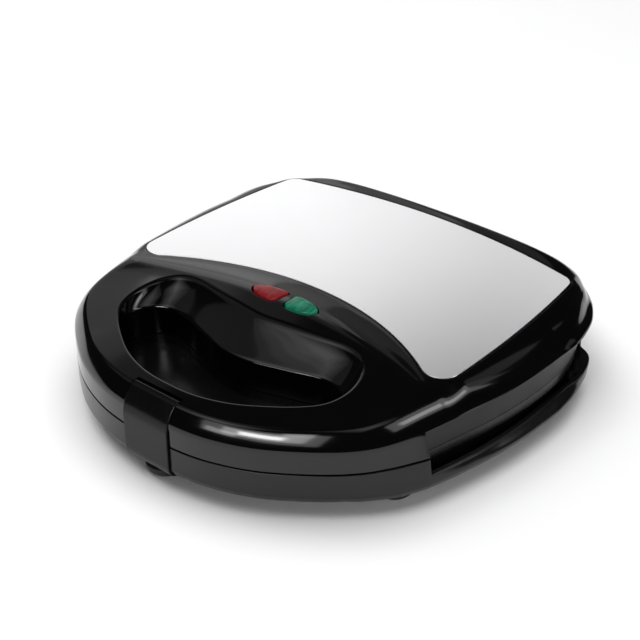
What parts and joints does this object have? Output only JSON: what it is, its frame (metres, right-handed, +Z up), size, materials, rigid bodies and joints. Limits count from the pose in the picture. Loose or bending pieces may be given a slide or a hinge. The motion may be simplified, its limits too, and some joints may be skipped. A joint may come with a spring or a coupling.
{
  "type": "breakfast sandwich maker",
  "caption": "Closed electric sandwich maker with a hinged lid, bare steel cover plate, handle bridge with finger opening, front latch, red and green lenses and non-stick cooking plates.",
  "frame": {"origin": "centre of the footprint, on the surface the feet stand on", "axes": "+Z up, -Y towards the handle and latch, +Y towards the hinge, +X towards the green lens side"},
  "size_m": [0.2496, 0.2504, 0.0557],
  "materials": {
    "casing": "gloss",
    "frame": "matte",
    "latch": "satin",
    "cover_plate": "satin",
    "cooking_plate": "non-stick coating, satin",
    "element": "satin",
    "reflector": "satin",
    "fasteners": "satin",
    "pins": "satin",
    "thermostat": "satin",
    "fuse": "satin",
    "terminal": "matte",
    "wire": "matte",
    "bush": "matte",
    "feet": "matte",
    "lamp_holder": "matte",
    "lamps": "clear",
    "red_lens": "clear, gloss",
    "green_lens": "clear, gloss"
  },
  "bodies": {
    "base": {"base_shell": "casing", "base_frame": "frame", "base_frame_screws": "fasteners", "lower_cooking_plate": "cooking_plate", "lower_heating_element": "element", "lower_reflector": "reflector", "lower_plate_screws": "fasteners", "thermostat": "thermostat", "thermal_fuse": "fuse", "terminal_block": "terminal", "base_wires": "wire", "cord_inlet": "bush", "feet": "feet", "hinge_pins": "pins", "hinge_lead_lower": "wire"},
    "lid": {"lid_shell": "casing", "lid_cover_plate": "cover_plate", "lid_frame": "frame", "lid_frame_screws": "fasteners", "upper_cooking_plate": "cooking_plate", "upper_heating_element": "element", "upper_reflector": "reflector", "upper_plate_screws": "fasteners", "red_lens": "red_lens", "green_lens": "green_lens", "lamp_holder": "lamp_holder", "lamp_holder_screws": "fasteners", "neon_lamps": "lamps", "lid_wires": "wire", "latch_pin": "pins", "hinge_lead_upper": "wire"},
    "latch": {"latch": "latch"}
  },
  "joints": [
    {"name": "lid_hinge", "type": "hinge", "parent": "base", "child": "lid", "pos_m": [0, 0.1207, 0.025], "axis": [-1, 0, 0], "range_deg": [0, 105]},
    {"name": "latch_pivot", "type": "hinge", "parent": "lid", "child": "latch", "pos_m": [0, -0.1158, 0.0412], "axis": [-1, 0, 0], "range_deg": [0, 75]}
  ]
}
